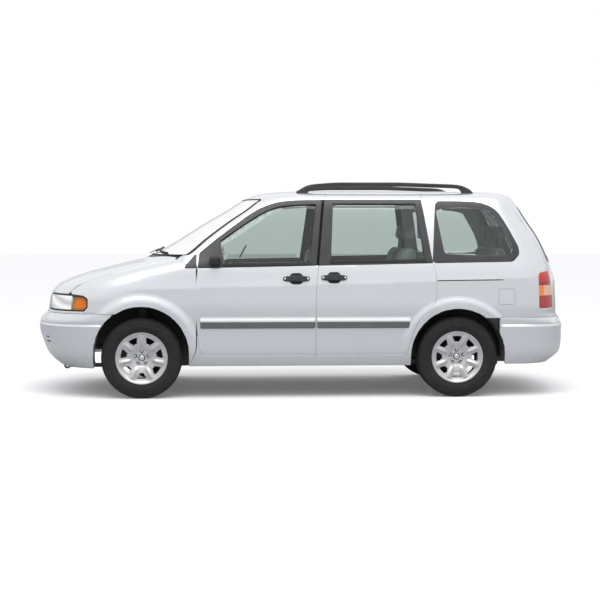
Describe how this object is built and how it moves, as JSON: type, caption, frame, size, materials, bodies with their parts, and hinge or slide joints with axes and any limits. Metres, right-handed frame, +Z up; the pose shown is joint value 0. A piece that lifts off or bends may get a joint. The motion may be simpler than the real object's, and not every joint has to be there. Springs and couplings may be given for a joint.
{
  "type": "minivan",
  "caption": "Family minivan with hinged front doors, hood and tailgate, sliding side doors, roof rails, and wheels that roll and steer.",
  "frame": {"origin": "on the ground, below the centre of the vehicle's bounding box", "axes": "+Z up, -X towards the nose, +X towards the tail, -Y towards the left-hand side"},
  "size_m": [4.6365, 2.1896, 1.828],
  "materials": {
    "floor_pan": "satin",
    "left_body_side": "gloss",
    "right_body_side": "gloss",
    "roof_panel": "gloss",
    "front_structure": "satin",
    "front_fenders": "gloss",
    "front_bumper": "gloss",
    "rear_bumper": "gloss",
    "grille": "matte",
    "headlights": "gloss",
    "tail_lights": "gloss",
    "windshield": "tinted",
    "quarter_windows": "tinted",
    "hood": "gloss",
    "tailgate": "gloss",
    "tailgate_window": "tinted",
    "front_left_door": "gloss",
    "front_right_door": "gloss",
    "front_left_window": "tinted",
    "front_right_window": "tinted",
    "left_sliding_door": "gloss",
    "right_sliding_door": "gloss",
    "sliding_door_windows": "tinted",
    "left_mirror": "satin",
    "right_mirror": "satin",
    "roof_rails": "satin",
    "dashboard": "matte",
    "front_seats": "woven",
    "middle_seats": "woven",
    "rear_bench": "woven",
    "steering_wheel": "satin",
    "engine": "rough",
    "front_subframe": "satin",
    "rear_axle": "satin",
    "left_knuckle": "rough",
    "right_knuckle": "rough",
    "front_left_wheel": "painted alloy",
    "front_right_wheel": "painted alloy",
    "rear_left_wheel": "painted alloy",
    "rear_right_wheel": "painted alloy",
    "front_left_tyre": "matte",
    "front_right_tyre": "matte",
    "rear_left_tyre": "matte",
    "rear_right_tyre": "matte",
    "exhaust": "dull"
  },
  "bodies": {
    "body": {"floor_pan": "floor_pan", "left_body_side": "left_body_side", "right_body_side": "right_body_side", "roof_panel": "roof_panel", "front_structure": "front_structure", "front_fenders": "front_fenders", "front_bumper": "front_bumper", "rear_bumper": "rear_bumper", "grille": "grille", "headlights": "headlights", "tail_lights": "tail_lights", "windshield": "windshield", "quarter_windows": "quarter_windows", "left_sliding_door": "left_sliding_door", "right_sliding_door": "right_sliding_door", "sliding_door_windows": "sliding_door_windows", "roof_rails": "roof_rails", "dashboard": "dashboard", "front_seats": "front_seats", "middle_seats": "middle_seats", "rear_bench": "rear_bench", "engine": "engine", "front_subframe": "front_subframe", "rear_axle": "rear_axle", "exhaust": "exhaust"},
    "hood": {"hood": "hood"},
    "tailgate": {"tailgate": "tailgate", "tailgate_window": "tailgate_window"},
    "front_left_door": {"front_left_door": "front_left_door", "front_left_window": "front_left_window", "left_mirror": "left_mirror"},
    "front_right_door": {"front_right_door": "front_right_door", "front_right_window": "front_right_window", "right_mirror": "right_mirror"},
    "steering_wheel": {"steering_wheel": "steering_wheel"},
    "left_knuckle": {"left_knuckle": "left_knuckle"},
    "right_knuckle": {"right_knuckle": "right_knuckle"},
    "front_left_wheel": {"front_left_wheel": "front_left_wheel", "front_left_tyre": "front_left_tyre"},
    "front_right_wheel": {"front_right_wheel": "front_right_wheel", "front_right_tyre": "front_right_tyre"},
    "rear_left_wheel": {"rear_left_wheel": "rear_left_wheel", "rear_left_tyre": "rear_left_tyre"},
    "rear_right_wheel": {"rear_right_wheel": "rear_right_wheel", "rear_right_tyre": "rear_right_tyre"}
  },
  "joints": [
    {"name": "front_left_door_hinge", "type": "hinge", "parent": "body", "child": "front_left_door", "pos_m": [-0.9225, -0.917, 0.7], "axis": [0, 0, -1], "range_deg": [0, 65]},
    {"name": "front_right_door_hinge", "type": "hinge", "parent": "body", "child": "front_right_door", "pos_m": [-0.9225, 0.917, 0.7], "axis": [0, 0, 1], "range_deg": [0, 65]},
    {"name": "hood_hinge", "type": "hinge", "parent": "body", "child": "hood", "pos_m": [-1.0875, 0, 1.18], "axis": [0, 1, 0], "range_deg": [0, 50]},
    {"name": "tailgate_hinge", "type": "hinge", "parent": "body", "child": "tailgate", "pos_m": [1.7875, 0, 1.742], "axis": [0, -1, 0], "range_deg": [0, 75]},
    {"name": "left_steering", "type": "hinge", "parent": "body", "child": "left_knuckle", "pos_m": [-1.3775, -0.7, 0.342], "axis": [0, 0, 1], "range_deg": [-33, 33]},
    {"name": "right_steering", "type": "hinge", "parent": "body", "child": "right_knuckle", "pos_m": [-1.3775, 0.7, 0.342], "axis": [0, 0, 1], "range_deg": [-33, 33]},
    {"name": "steering_wheel_turn", "type": "hinge", "parent": "body", "child": "steering_wheel", "pos_m": [-0.5805, -0.38, 1.133], "axis": [-0.8829, 0, -0.4695], "range_deg": [-540, 540]},
    {"name": "front_left_wheel_spin", "type": "hinge", "parent": "left_knuckle", "child": "front_left_wheel", "pos_m": [-1.3775, -0.785, 0.342], "axis": [0, 1, 0], "continuous": true},
    {"name": "front_right_wheel_spin", "type": "hinge", "parent": "right_knuckle", "child": "front_right_wheel", "pos_m": [-1.3775, 0.785, 0.342], "axis": [0, 1, 0], "continuous": true},
    {"name": "rear_left_wheel_spin", "type": "hinge", "parent": "body", "child": "rear_left_wheel", "pos_m": [1.3025, -0.785, 0.342], "axis": [0, 1, 0], "continuous": true},
    {"name": "rear_right_wheel_spin", "type": "hinge", "parent": "body", "child": "rear_right_wheel", "pos_m": [1.3025, 0.785, 0.342], "axis": [0, 1, 0], "continuous": true}
  ],
  "couplings": [
    {"joint": "right_steering", "follows": "left_steering", "ratio": 1},
    {"joint": "steering_wheel_turn", "follows": "left_steering", "ratio": -16}
  ]
}
